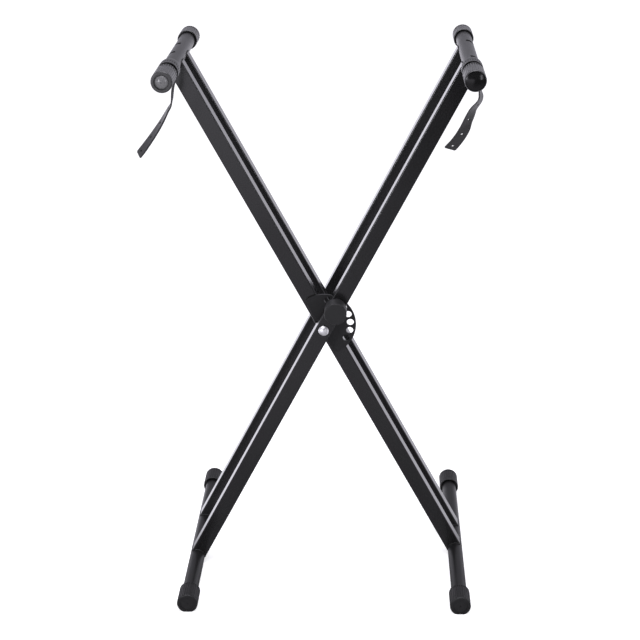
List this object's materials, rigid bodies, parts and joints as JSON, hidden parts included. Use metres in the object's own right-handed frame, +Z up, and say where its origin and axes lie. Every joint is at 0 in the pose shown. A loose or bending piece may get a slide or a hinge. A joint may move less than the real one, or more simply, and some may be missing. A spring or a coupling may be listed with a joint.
{
  "type": "folding keyboard stand",
  "caption": "Folding X stand for a keyboard: crossed tube legs on a pivot with a pull-knob lock plate, round support bars, ribbed rubber caps and rubber hold-down straps.",
  "frame": {"origin": "on the floor, straight under the pivot, midway between the front and rear feet", "axes": "+X right across the open legs, +Y from the lock and strap side to the back, +Z up"},
  "size_m": [0.5201, 0.441, 0.8716],
  "materials": {
    "black_powder_coat": "satin black powder coat",
    "black_plate": "satin black powder coat",
    "cap_rubber": "dark matte moulded rubber",
    "button_plastic": "dark glossy plastic",
    "chromed_steel": "bright chrome plate",
    "zinc_steel": "bright zinc plate",
    "spring_wire": "drawn spring wire",
    "bush_nylon": "black nylon",
    "knob_plastic": "black moulded plastic",
    "strap_rubber": "dark grey soft rubber"
  },
  "bodies": {
    "outer_leg": {"outer_front_tube": "black_powder_coat", "outer_rear_tube": "black_powder_coat", "outer_foot_bar": "black_powder_coat", "outer_support_bar": "black_powder_coat", "outer_foot_cap_front": "cap_rubber", "outer_foot_cap_rear": "cap_rubber", "outer_bar_cap_front": "cap_rubber", "outer_bar_cap_rear": "cap_rubber", "right_cap_button": "button_plastic", "pivot_bolt": "chromed_steel", "pivot_nut": "chromed_steel", "pivot_washers": "zinc_steel", "pivot_bushes": "bush_nylon", "lock_bezel": "knob_plastic", "lock_housing": "zinc_steel", "lock_spring": "spring_wire"},
    "inner_leg": {"inner_front_tube": "black_powder_coat", "inner_rear_tube": "black_powder_coat", "inner_foot_bar": "black_powder_coat", "inner_support_bar": "black_powder_coat", "inner_foot_cap_front": "cap_rubber", "inner_foot_cap_rear": "cap_rubber", "inner_bar_cap_front": "cap_rubber", "inner_bar_cap_rear": "cap_rubber", "left_cap_button": "button_plastic", "lock_plate": "black_plate", "pivot_spacer": "zinc_steel"},
    "lock_plunger": {"lock_pin": "zinc_steel", "lock_knob": "knob_plastic"},
    "left_strap_body": {"left_strap": "strap_rubber"},
    "right_strap_body": {"right_strap": "strap_rubber"}
  },
  "joints": [
    {"name": "fold", "type": "hinge", "parent": "outer_leg", "child": "inner_leg", "pos_m": [0, 0, 0.43138], "axis": [0, -1, 0], "range_deg": [-51, 95]},
    {"name": "lock_pull", "type": "slide", "parent": "outer_leg", "child": "lock_plunger", "axis": [0, -1, 0], "range_m": [0, 0.008], "stiffness_N_per_m": 1500, "springref_m": -0.006, "deforming": ["lock_spring"]},
    {"name": "left_strap_swing", "type": "hinge", "parent": "inner_leg", "child": "left_strap_body", "pos_m": [-0.22363, -0.0977, 0.85554], "axis": [0, 1, 0], "range_deg": [-25, 150]},
    {"name": "right_strap_swing", "type": "hinge", "parent": "outer_leg", "child": "right_strap_body", "pos_m": [0.22363, -0.0977, 0.85554], "axis": [0, -1, 0], "range_deg": [-25, 150]}
  ]
}
